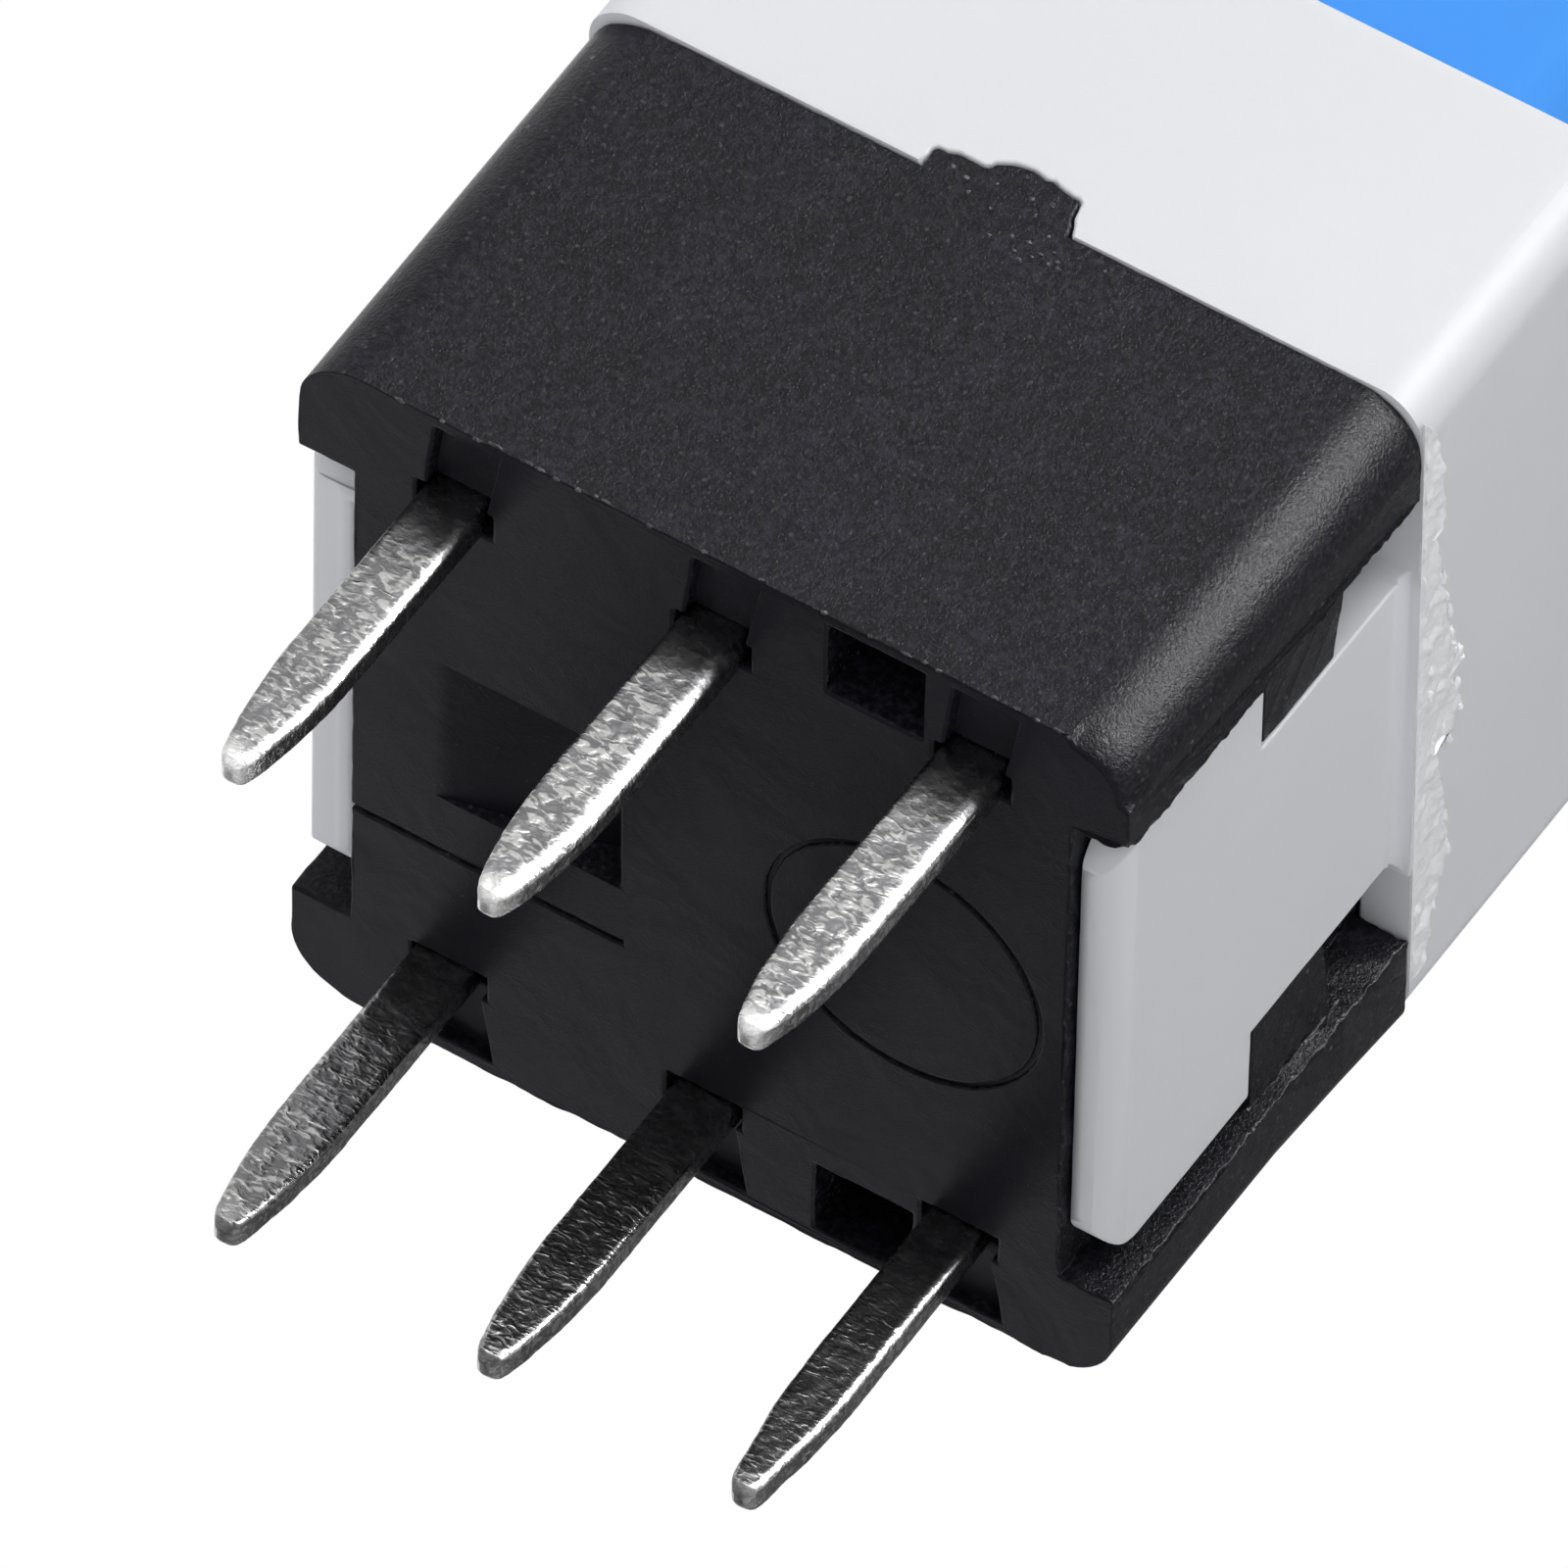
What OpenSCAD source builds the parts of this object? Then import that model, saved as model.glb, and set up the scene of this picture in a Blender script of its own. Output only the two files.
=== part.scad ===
// Latching push button switch: square body, six flat terminals in two rows.
// +Z points out through the button, X runs along the terminal rows, -Y is the front.
// The origin is the middle of the base's underside, the face that meets the circuit board.

/* [Body] */
// Outside width of the white cover, the same along X and Y
cover_w = 8.15; // [8.15:0.01:8.2]
// Width of the black base along the terminal rows
base_w = 8.0; // [7.98:0.01:8.04]
// Depth of the black base across the terminal rows
base_d = 8.1; // [8.08:0.01:8.12]
// Height of the black base that stays in view
base_h = 4.45; // [4.4:0.05:4.6]
// How much higher the seam between base and cover lies at the rear than at the front
seam_rise = 0.15; // [0:0.05:0.2]
// Height from the circuit board to the top of the cover
body_h = 7.75; // [7.7:0.05:8]
// Radius of the base's upright corners
base_r = 0.6; // [0.5:0.05:0.7]
// Radius of the cover's upright corners
cover_r = 0.5; // [0.4:0.05:0.6]

/* [Terminals] */
// Distance between neighbouring terminals in a row
pitch = 2.5; // [2.48:0.01:2.54]
// Distance between the two rows
row_gap = 6.0; // [5.98:0.01:6.04]
// Width of a terminal leg
leg_w = 0.58; // [0.5:0.02:0.62]
// Thickness of a terminal leg
leg_t = 0.3; // [0.28:0.01:0.3]
// Length of a leg below the board face
leg_len = 3.35; // [3:0.05:4]

/* [Button] */
// Width of the square button head
button_w = 5.8; // [5.6:0.1:5.8]
// Radius of the button head's upright corners
button_r = 0.7; // [0.5:0.1:0.8]
// Height of the button's top above the board at rest
button_top = 12.8; // [12:0.1:14]
// Full travel of the button
travel = 2.2; // [2:0.1:2.2]
// Depth at which the button stays latched
latch_depth = 1.5; // [1.4:0.1:1.6]

/* [Inner parts] */
// Wire thickness of the lock pin
pin_d = 0.35; // [0.3:0.05:0.35]
// Sideways swing of the lock pin's tip over the full travel
pin_swing = 0.7; // [0.6:0.05:0.7]
// Outside diameter of the return spring
spring_od = 2.3; // [2:0.1:2.4]
// Wire thickness of the return spring
spring_wire = 0.22; // [0.2:0.01:0.26]
// Turns of the return spring
spring_turns = 7; // [6:1:8]

/* [Hidden] */

$fn = 48;
eps = 0.01;
gap = 0.03;          // play between pieces that are pushed together
cut = 20;            // longer than anything it cuts
row_y = row_gap / 2;
rear_h = base_h + seam_rise;
seam_h = (base_h + rear_h) / 2;

black = [0.06, 0.06, 0.07];
white = [0.93, 0.93, 0.94];
blue = [0.1, 0.42, 0.95];
tin = [0.78, 0.78, 0.76];
steel = [0.6, 0.61, 0.63];
bronze = [0.75, 0.6, 0.38];

// Base: floor, end walls and side walls
floor_h = 0.7;
end_out = 3.47;      // outer face of the end walls, the back of each tongue recess
end_in = 2.95;       // inner face of the end walls
side_in = 2.9;       // inner face of the side walls
shelf_z = 3.65;      // above this the side walls are thinner, for the button's ears
shelf_y = 3.35;
spigot_z = 6.6;      // top of the end walls, inside the cover
recess_y = 2.92;     // half width of each tongue recess
relief_y = 3.92;     // outer end of the reliefs in the underside
edge_c = 0.03;       // chamfer along the base's lower edges

// Tongues of the cover, and the lugs that hold them
wall_in = 3.5;       // inner face of the cover's walls and tongues
tongue_out = 3.87;   // outer face of a tongue
head_y = 2.68;       // half width of a tongue's head
neck_y = 1.83;       // half width of a tongue's neck
head_z = 2.31;       // top of the head, caught under the lugs
head_r = 0.5;
neck_flare = 0.2;    // fillet from the neck's side to the rim of the wall
lug_z = [head_z + gap, 3.43];
lug_rise = 0.2;      // how much higher a lug is at its outer end
lug_out = 3.85;
top_t = 0.8;         // thickness of the cover's top
tongue_end = 0.12;
bullnose_r = 0.28;
root_r = 0.2;        // fillet where a tongue meets the wall above it

// Gate remnant on the front face, and the cover's notch over it
gate_x = [-0.82, 0.58];
gate_z = 4.78;
gate_y = 3.52;

// Terminal strips inside the base
strip_t = 0.2;
strip_in = side_in - strip_t;
strip_top = 3.5;
foot_z = 1.05;       // top of the foot that steps from leg to strip
arm_x = 0.75;        // where the side terminals' arms end
common_half = 0.5;
nc_z = 2.55;         // bottom of the rest contact's arm
no_z = [1.05, 1.95]; // working contact's arm
slot_gap = 0.08;

// Button: the slider below the head
slider_z = 3.0;      // lower end of the slider at rest
slider_y = 2.25;
slider_left = -2.75;
slider_right = 2.35; // set back for the lock pin
ear_z = [6.1, body_h - top_t - 0.03];
ear_y = 3.2;
ear_x = 2.75;
bore_r = 1.35;
bore_top = 6.3;
head_edge = 0.45;    // rounding along the button's top edges
opening_w = button_w + 0.2;

// Lock pin: a wire with a hinge leg in the base and a tip in the button's groove
hinge_z = 1.0;
tip_z = 3.55;
arm_len = tip_z - hinge_z;
wire_x = 2.66;
hinge_end = 3.38;
tip_end = 1.98;
groove_w = pin_d + 0.16;
groove_x = 1.85;
swing_angle = asin(pin_swing / arm_len);
dead_z = hinge_z + arm_len * cos(swing_angle) + travel;
latch_z = tip_z + latch_depth;

// Contact clips
clip_t = 0.12;
clip_x = 1.3;
finger_w = 0.7;
clip_back = 2.14;
clip_z = [3.1, 4.2];

function mid(a, b) = (a + b) / 2;

// Rectangle with round corners, made of plain squares and circles
module rounded_rect(w, d, r) {
    square([w - 2 * r, d], center = true);
    square([w, d - 2 * r], center = true);
    for (x = [-1, 1], y = [-1, 1])
        translate([x * (w / 2 - r), y * (d / 2 - r)])
            circle(r);
}

// Straight groove with round ends, between two points
module lane(a, b, w) {
    run = b - a;
    translate(a)
        rotate(atan2(run[1], run[0]))
            translate([0, -w / 2])
                square([norm(run), w]);
    for (p = [a, b])
        translate(p)
            circle(d = w);
}

// Thin strip folded along a list of points
module folded_strip(points, t) {
    for (i = [0 : len(points) - 2])
        lane(points[i], points[i + 1], t);
}

// Extrudes a Y-Z outline along X, from x0 to x1
module along_x(x0, x1) {
    translate([x0, 0, 0])
        rotate([90, 0, 90])
            linear_extrude(x1 - x0)
                children();
}

// Extrudes an X-Z outline along Y, from y0 to y1
module along_y(y0, y1) {
    translate([0, y1, 0])
        rotate([90, 0, 0])
            linear_extrude(y1 - y0)
                children();
}

// Box between two opposite corners
module block(low, high) {
    translate(low)
        cube(high - low);
}

// ---- base ----

// Outline with chamfered lower corners, up to one height at its left and another at its right
module chamfered_side(half, left_top, right_top) {
    polygon([
        [-half, edge_c], [-half + edge_c, 0], [half - edge_c, 0],
        [half, edge_c], [half, right_top], [-half, left_top]
    ]);
}

module base_block() {
    intersection() {
        linear_extrude(cut)
            rounded_rect(base_w, base_d, base_r);
        along_y(-cut, cut)
            chamfered_side(base_w / 2, cut, cut);
        along_x(-cut, cut)
            chamfered_side(base_d / 2, base_h, rear_h);
    }
    for (s = [-1, 1])
        scale([s, 1, 1])
            block([end_in - 0.1, -recess_y, base_h - 1], [end_out, recess_y, spigot_z]);
    block([gate_x[0], -base_d / 2, base_h - 1], [gate_x[1], -gate_y, gate_z]);
}

module base_cavity() {
    block([-end_in, -side_in, floor_h], [end_in, side_in, cut]);
    block([-end_in, -shelf_y, shelf_z], [end_in, shelf_y, cut]);
}

// Slot and foot pocket of one terminal
module leg_slot(x, side) {
    half = leg_w / 2 + slot_gap;
    scale([1, side, 1])
        block([x - half, side_in - 0.05, -1], [x + half, row_y + leg_t / 2, foot_z + gap]);
}

// Shallow tapered relief from a slot towards the base's edge
module leg_relief(x, side) {
    depth = 0.15;
    scale([1, side, 1])
        translate([x, 0, -eps])
            linear_extrude(depth + eps)
                polygon([
                    [-leg_w / 2, row_y], [leg_w / 2, row_y],
                    [leg_w / 2 + 0.15, relief_y], [-leg_w / 2 + 0.1, relief_y]
                ]);
}

// Relief pockets, ramp, step line and round mark in the underside
module underside_cuts() {
    for (s = [-1, 1])
        scale([1, s, 1])
            block([1.1, 3.08, -1], [2.04, relief_y, 2.0]);
    along_y(-0.95, 0.78)
        polygon([[-2.65, 0], [-2.65, -1], [-0.85, -1], [-0.85, 0.42]]);
    block([-end_out - 1, 1.44, -1], [-0.8, 1.5, 0.05]);
    translate([1.9, -0.1, -1])
        difference() {
            cylinder(r = 1.35, h = 1.04);
            cylinder(r = 1.29, h = 3, center = true);
        }
}

module tongue_recess() {
    block([end_out, -recess_y, -1], [cut, recess_y, rear_h + eps]);
}

// The lugs' upper faces slope, so that the tongue's neck can snap in between them
module lugs() {
    for (s = [-1, 1])
        scale([1, s, 1])
            along_x(end_out - 0.1, lug_out)
                polygon([
                    [neck_y + gap, lug_z[0]], [recess_y + 0.1, lug_z[0]],
                    [recess_y + 0.1, lug_z[1] + lug_rise], [neck_y + gap, lug_z[1]]
                ]);
}

module base() {
    color(black) {
        difference() {
            base_block();
            base_cavity();
            for (s = [-1, 1])
                scale([s, 1, 1])
                    tongue_recess();
            for (x = [-pitch, 0, pitch], s = [-1, 1]) {
                leg_slot(x, s);
                leg_relief(x, s);
            }
            underside_cuts();
            translate([0, 0, hinge_z])
                rotate([0, 90, 0])
                    cylinder(d = pin_d + 0.08, h = cut);
        }
        for (s = [-1, 1])
            scale([s, 1, 1])
                lugs();
        translate([0, 0, floor_h - 0.1])
            cylinder(d = 1.3, h = 0.8);
    }
}

// ---- cover ----

// Outline of a tongue seen from the end: wide head with round corners, narrow neck
module tongue_face() {
    translate([-head_y, head_r + tongue_end])
        square([2 * head_y, head_z - head_r - tongue_end]);
    translate([-head_y + head_r, tongue_end])
        square([2 * (head_y - head_r), head_r]);
    for (s = [-1, 1])
        translate([s * (head_y - head_r), head_r + tongue_end])
            circle(head_r);
    translate([-neck_y, head_z - 0.1])
        square([2 * neck_y, seam_h + 0.4 - head_z]);
    for (s = [-1, 1])
        scale([s, 1])
            difference() {
                translate([neck_y - 0.05, seam_h - neck_flare])
                    square([neck_flare + 0.05, neck_flare + 0.3]);
                translate([neck_y + neck_flare, seam_h - neck_flare])
                    circle(neck_flare);
            }
}

// Section of a tongue: rounded end, and a fillet where it meets the wall above
module tongue_section() {
    translate([wall_in, tongue_end + bullnose_r])
        square([tongue_out - wall_in, seam_h + 0.4 - tongue_end - bullnose_r]);
    translate([wall_in, tongue_end])
        square([tongue_out - wall_in - bullnose_r, bullnose_r]);
    translate([tongue_out - bullnose_r, tongue_end + bullnose_r])
        circle(bullnose_r);
    difference() {
        translate([tongue_out - 0.05, seam_h - root_r])
            square([root_r + 0.05, root_r + 0.2]);
        translate([tongue_out + root_r, seam_h - root_r])
            circle(root_r);
    }
}

module tongue() {
    intersection() {
        along_x(wall_in - eps, cut)
            tongue_face();
        along_y(-cut, cut)
            tongue_section();
    }
}

// Everything below the sloping seam, raised by a little
module below_seam(up) {
    slope = seam_rise / base_d;
    polygon([
        [-cut, up], [cut, up],
        [cut, seam_h + slope * cut + up], [-cut, seam_h - slope * cut + up]
    ]);
}

module cover_shell() {
    difference() {
        translate([0, 0, base_h])
            linear_extrude(body_h - base_h)
                rounded_rect(cover_w, cover_w, cover_r);
        along_x(-cut, cut)
            below_seam(eps);
        translate([0, 0, base_h - 1])
            linear_extrude(body_h - top_t - base_h + 1)
                rounded_rect(2 * wall_in, 2 * wall_in, 0.25);
        linear_extrude(cut)
            rounded_rect(opening_w, opening_w, button_r + 0.1);
        block([gate_x[0] - gap, -cut, base_h - 1], [gate_x[1] + gap, -gate_y + gap, gate_z + gap]);
        along_y(-cut, cut)
            top_edge_cut(cover_w / 2, body_h, 0.12);
        along_x(-cut, cut)
            top_edge_cut(cover_w / 2, body_h, 0.12);
    }
}

// What a small round takes off both upper edges of a square outline
module top_edge_cut(half, top, r) {
    for (s = [-1, 1])
        scale([s, 1])
            difference() {
                translate([half - r, top - r])
                    square(r + 1);
                translate([half - r, top - r])
                    circle(r);
            }
}

module cover() {
    color(white) {
        cover_shell();
        for (s = [-1, 1])
            scale([s, 1, 1])
                tongue();
    }
}

// ---- button ----

module button_head() {
    difference() {
        translate([0, 0, ear_z[0]])
            linear_extrude(button_top - ear_z[0])
                rounded_rect(button_w, button_w, button_r);
        along_y(-cut, cut)
            top_edge_cut(button_w / 2, button_top, head_edge);
        along_x(-cut, cut)
            top_edge_cut(button_w / 2, button_top, head_edge);
    }
}

// Heart-shaped track of the lock pin's tip, drawn in Y-Z as the tip sees it
module heart_track() {
    start = [0, tip_z];
    deep_right = [pin_swing, dead_z];
    deep_left = [-pin_swing, dead_z];
    rest = [0, latch_z];
    lane(start, [pin_swing / 2, mid(tip_z, dead_z) + 0.03], groove_w);
    lane([pin_swing / 2, mid(tip_z, dead_z) + 0.03], deep_right, groove_w);
    lane(deep_right, rest, groove_w);
    lane(rest, deep_left, groove_w);
    lane(deep_left, start, groove_w);
}

module clip_pocket(side) {
    scale([1, side, 1])
        block([-clip_x - gap, clip_back - clip_t / 2, slider_z - 1], [clip_x + gap, cut, clip_z[1] + 0.1]);
}

module button() {
    color(blue)
        difference() {
            union() {
                button_head();
                block([-ear_x, -ear_y, ear_z[0]], [ear_x, ear_y, ear_z[1]]);
                block([slider_left, -slider_y, slider_z], [slider_right, slider_y, ear_z[0] + 0.5]);
            }
            translate([0, 0, slider_z - 1])
                cylinder(r = bore_r, h = bore_top - slider_z + 1);
            along_x(groove_x, slider_right + 1)
                heart_track();
            for (s = [-1, 1])
                clip_pocket(s);
        }
}

// ---- return spring ----

// Points of one wire section, at a share u of the spring's length
function coil_ring(u, z0, z1, turns, r, wire, sides) =
    let (a = 360 * turns * u,
         end = 0.8 / turns,
         flat = wire / (z1 - z0),
         rise = u < end ? u / end * flat : u > 1 - end ? 1 - (1 - u) / end * flat
              : flat + (u - end) / (1 - 2 * end) * (1 - 2 * flat),
         z = z0 + rise * (z1 - z0))
    [for (k = [0 : sides - 1])
        let (b = 360 * k / sides)
        [(r + wire / 2 * cos(b)) * cos(a), (r + wire / 2 * cos(b)) * sin(a), z + wire / 2 * sin(b)]];

module coil(z0, z1, turns, r, wire) {
    sides = 8;
    rings = turns * 16;
    points = [for (i = [0 : rings]) each coil_ring(i / rings, z0, z1, turns, r, wire, sides)];
    skin = [for (i = [0 : rings - 1], k = [0 : sides - 1])
        [i * sides + k, i * sides + (k + 1) % sides, (i + 1) * sides + (k + 1) % sides, (i + 1) * sides + k]];
    first = [for (k = [sides - 1 : -1 : 0]) k];
    last = [for (k = [0 : sides - 1]) rings * sides + k];
    polyhedron(points, concat([first], skin, [last]));
}

module return_spring() {
    color(steel)
        coil(floor_h + spring_wire / 2, bore_top - spring_wire / 2, spring_turns,
             (spring_od - spring_wire) / 2, spring_wire);
}

// ---- lock pin ----

module wire_x_leg(x0, x1, z) {
    translate([x0, 0, z])
        rotate([0, 90, 0])
            cylinder(d = pin_d, h = x1 - x0);
}

module lock_pin() {
    color(steel) {
        wire_x_leg(wire_x, hinge_end, hinge_z);
        wire_x_leg(tip_end, wire_x, tip_z);
        translate([wire_x, 0, hinge_z])
            cylinder(d = pin_d, h = arm_len);
        for (z = [hinge_z, tip_z])
            translate([wire_x, 0, z])
                sphere(d = pin_d);
    }
}

// ---- contact clips ----

module clip_profile() {
    folded_strip([
        [clip_back, clip_z[1]], [clip_back, 3.8], [strip_in - 0.1, 3.42],
        [strip_in - 0.1, 3.3], [clip_back + 0.2, clip_z[0]]
    ], clip_t);
}

module contact_clip(side) {
    color(bronze)
        scale([1, side, 1])
            difference() {
                along_x(-clip_x, clip_x)
                    clip_profile();
                for (s = [-1, 1])
                    scale([s, 1, 1])
                        block([clip_x - finger_w - 0.12, 0, 0], [clip_x - finger_w + 0.12, cut, 3.75]);
            }
}

// ---- terminals ----

// Leg seen from the front: straight, then tapered to a rounded tip
module leg_face() {
    taper = 0.95;
    tip_r = 0.15;
    translate([-leg_w / 2, -leg_len + taper])
        square([leg_w, leg_len - taper + floor_h]);
    polygon([
        [-leg_w / 2, -leg_len + taper], [-tip_r, -leg_len + tip_r],
        [tip_r, -leg_len + tip_r], [leg_w / 2, -leg_len + taper]
    ]);
    translate([0, -leg_len + tip_r])
        circle(tip_r);
}

// Leg and foot of one terminal at x, then the flat strip given by its outline
module terminal(x, side) {
    color(tin)
        scale([1, side, 1]) {
            along_y(row_y - leg_t / 2, row_y + leg_t / 2)
                translate([x, 0])
                    leg_face();
            block([x - leg_w / 2, strip_in, floor_h], [x + leg_w / 2, row_y + leg_t / 2, foot_z]);
            along_y(strip_in, side_in)
                children();
        }
}

module strip(x0, x1, z0, z1) {
    translate([x0, z0])
        square([x1 - x0, z1 - z0]);
}

module terminal_common(side) {
    terminal(0, side) {
        strip(-common_half, common_half, foot_z - 0.1, strip_top);
    }
}

module terminal_nc(side) {
    terminal(-pitch, side) {
        strip(-pitch - leg_w / 2, -pitch + leg_w / 2, foot_z - 0.1, strip_top);
        strip(-pitch, -arm_x, nc_z, strip_top);
    }
}

module terminal_no(side) {
    terminal(pitch, side) {
        strip(pitch - leg_w / 2, pitch + leg_w / 2, foot_z - 0.1, no_z[1]);
        strip(arm_x, pitch, no_z[0], no_z[1]);
    }
}

base();
cover();
button();
return_spring();
lock_pin();
contact_clip(-1);  // contact_clip_front
contact_clip(1);  // contact_clip_rear
terminal_nc(-1);  // terminal_nc_front
terminal_common(-1);  // terminal_common_front
terminal_no(-1);  // terminal_no_front
terminal_nc(1);  // terminal_nc_rear
terminal_common(1);  // terminal_common_rear
terminal_no(1);  // terminal_no_rear
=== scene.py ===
import math
import random

import bmesh
import bpy
from mathutils import Matrix, Vector, noise


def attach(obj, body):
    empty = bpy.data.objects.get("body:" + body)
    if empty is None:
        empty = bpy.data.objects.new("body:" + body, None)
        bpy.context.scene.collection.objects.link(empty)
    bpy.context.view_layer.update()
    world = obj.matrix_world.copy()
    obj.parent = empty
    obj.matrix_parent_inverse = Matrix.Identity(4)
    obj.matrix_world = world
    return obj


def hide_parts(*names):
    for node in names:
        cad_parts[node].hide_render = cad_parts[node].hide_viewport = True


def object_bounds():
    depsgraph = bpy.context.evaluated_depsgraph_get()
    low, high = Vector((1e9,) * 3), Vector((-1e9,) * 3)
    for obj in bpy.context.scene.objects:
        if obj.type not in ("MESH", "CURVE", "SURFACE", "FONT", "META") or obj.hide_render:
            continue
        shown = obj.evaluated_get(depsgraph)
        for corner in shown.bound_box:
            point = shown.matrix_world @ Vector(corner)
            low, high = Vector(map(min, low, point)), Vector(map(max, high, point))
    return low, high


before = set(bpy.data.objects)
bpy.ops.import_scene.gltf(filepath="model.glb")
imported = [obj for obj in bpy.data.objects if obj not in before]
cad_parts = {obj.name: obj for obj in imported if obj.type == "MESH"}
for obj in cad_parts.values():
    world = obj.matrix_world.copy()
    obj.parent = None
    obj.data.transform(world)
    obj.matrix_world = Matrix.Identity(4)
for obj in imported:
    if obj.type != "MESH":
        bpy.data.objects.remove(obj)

bl_info = {
    "name": "Latching push button switch",
    "version": (1, 0, 0),
    "blender": (4, 5, 0),
    "location": "View3D > Sidebar > Switch",
    "description": "Finishes and fine shape of a small latching push button switch",
    "category": "Object",
}

MM = 0.001
CAD_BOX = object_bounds()
SIDES = {"front": -1, "rear": 1}
# Terminal pitch along X, and distance of a row of terminals from the middle
PITCH, ROW = 2.5, 3.0
TERMINALS = [f"terminal_{kind}_{side}" for kind in ("nc", "common", "no") for side in SIDES]

# Half widths of the base and of the cover, and the height of the seam between them
BASE_X, BASE_Y, COVER_HALF, SEAM = 4.0, 4.05, 4.075, 4.45
# Centre and radius of the base's upright corners
CORNER_X, CORNER_Y, CORNER_RADIUS = 3.4, 3.45, 0.6
# The tongue recesses lie beyond this X, and their side walls stand at this Y
RECESS_X, RECESS_Y = 3.4, 2.92

# Points closer than this are one point, and points this near a plane lie on it
MERGE, ON_PLANE = 0.0006, 0.004
# An edge with less room than this stays as it is
LEAST_ROUNDING = 0.003
# Turn of an edge, in degrees, from which it is sharp, and from which it is shaded crisp
SHARP_TURN, ROUNDED_CRISP, LOFTED_CRISP = 28, 34, 40


# ---- sizes and colours that a user may change ----

class SwitchSizes(bpy.types.PropertyGroup):
    base_edge: bpy.props.FloatProperty(
        name="Base edge", description="Rounding of the black base's edges, in millimetres",
        default=0.035, min=0.005, max=0.06)
    cover_edge: bpy.props.FloatProperty(
        name="Cover edge", description="Rounding of the white cover's edges, in millimetres",
        default=0.04, min=0.005, max=0.08)
    button_edge: bpy.props.FloatProperty(
        name="Button edge", description="Rounding of the button's edges, in millimetres",
        default=0.05, min=0.005, max=0.08)
    leg_roll: bpy.props.FloatProperty(
        name="Terminal edge",
        description="Roll that the stamping die leaves on a leg's outer edge, in millimetres",
        default=0.13, min=0.03, max=0.16)


class SwitchColours(bpy.types.PropertyGroup):
    base: bpy.props.FloatVectorProperty(
        name="Base", description="Colour of the black base plastic",
        subtype="COLOR", size=3, min=0, max=1, default=(0.0104, 0.0104, 0.015))
    cover: bpy.props.FloatVectorProperty(
        name="Cover", description="Colour of the white cover plastic",
        subtype="COLOR", size=3, min=0, max=1, default=(0.80, 0.81, 0.84))
    button: bpy.props.FloatVectorProperty(
        name="Button", description="Colour of the blue button plastic",
        subtype="COLOR", size=3, min=0, max=1, default=(0.058, 0.342, 0.975))
    tin: bpy.props.FloatVectorProperty(
        name="Tin", description="Colour of the tin plating",
        subtype="COLOR", size=3, min=0, max=1, default=(0.2, 0.2, 0.205))
    steel: bpy.props.FloatVectorProperty(
        name="Steel", description="Colour of the spring and lock pin wire",
        subtype="COLOR", size=3, min=0, max=1, default=(0.5, 0.51, 0.53))
    bronze: bpy.props.FloatVectorProperty(
        name="Bronze", description="Colour of the contact clips",
        subtype="COLOR", size=3, min=0, max=1, default=(0.66, 0.42, 0.2))
    floor: bpy.props.FloatVectorProperty(
        name="Floor", description="Colour of the floor",
        subtype="COLOR", size=3, min=0, max=1, default=(0.86, 0.86, 0.87))


def sizes():
    return bpy.context.scene.switch_sizes


def colours():
    return bpy.context.scene.switch_colours


# ---- finishes ----

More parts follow.
